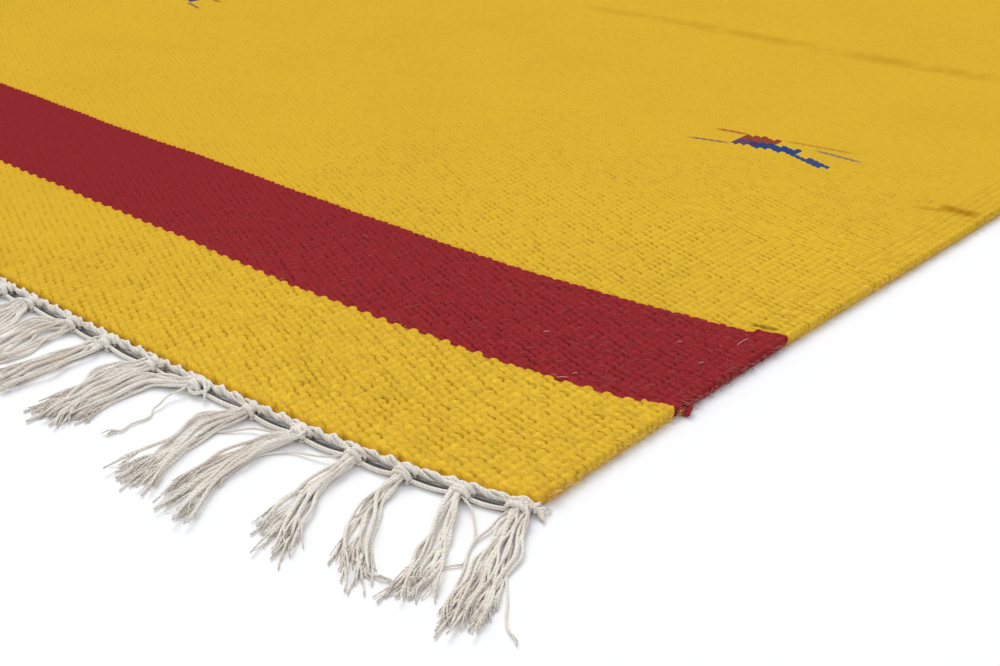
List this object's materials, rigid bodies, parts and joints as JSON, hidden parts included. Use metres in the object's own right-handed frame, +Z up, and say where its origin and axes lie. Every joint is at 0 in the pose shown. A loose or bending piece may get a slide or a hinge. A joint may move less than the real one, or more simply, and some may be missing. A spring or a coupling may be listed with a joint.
{
  "type": "flat-woven kilim rug with a knotted fringe",
  "caption": "Flat rectangular rug in ribbed flat-woven wool, with drawn-in corners and, along each end, a twined cotton cord and a knotted cotton fringe that lies on the floor.",
  "frame": {"origin": "middle of the rug's underside, on the floor", "axes": "+X along the weft, across the rug's width; +Y along the warp, from the near end to the far end; +Z up from the floor"},
  "size_m": [0.645, 1.0059, 0.004],
  "materials": {
    "wool_weft": "matte ribbed wool weft, golden yellow with a dark red band near each end and small blue and rust motifs",
    "cotton_thread": "matte undyed off-white cotton thread with small brown specks"
  },
  "bodies": {
    "root": {"rug_cloth": "wool_weft", "near_heading_cord": "cotton_thread", "far_heading_cord": "cotton_thread", "near_fringe": "cotton_thread", "far_fringe": "cotton_thread"}
  },
  "joints": []
}
